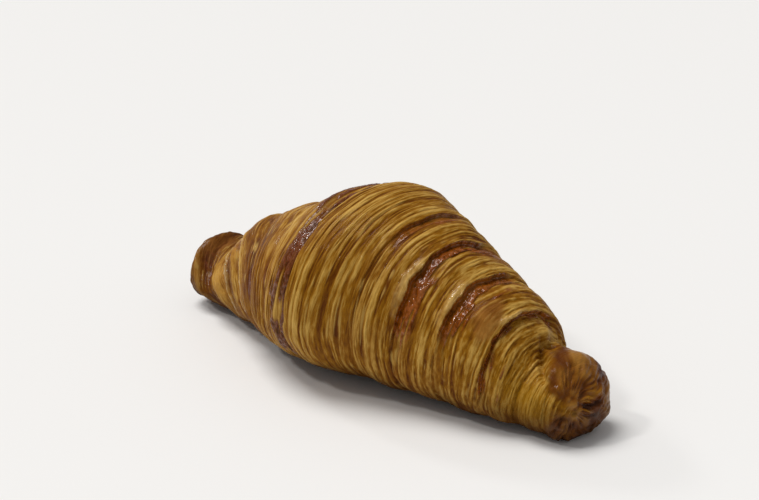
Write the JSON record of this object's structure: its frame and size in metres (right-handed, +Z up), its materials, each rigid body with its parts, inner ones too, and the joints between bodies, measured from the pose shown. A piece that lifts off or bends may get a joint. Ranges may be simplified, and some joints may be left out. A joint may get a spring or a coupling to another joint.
{
  "type": "croissant",
  "caption": "Straight rolled croissant with stepped spiral wraps, one narrow and one bulbous tip, and a flattened underside.",
  "frame": {"origin": "on the resting plane, under the middle of the croissant's bounding box", "axes": "+X from the narrow tip to the bulbous tip, +Y towards the back, +Z up"},
  "size_m": [0.16, 0.0742, 0.0576],
  "materials": {
    "crust": "satin"
  },
  "bodies": {
    "root": {"croissant": "crust"}
  },
  "joints": []
}
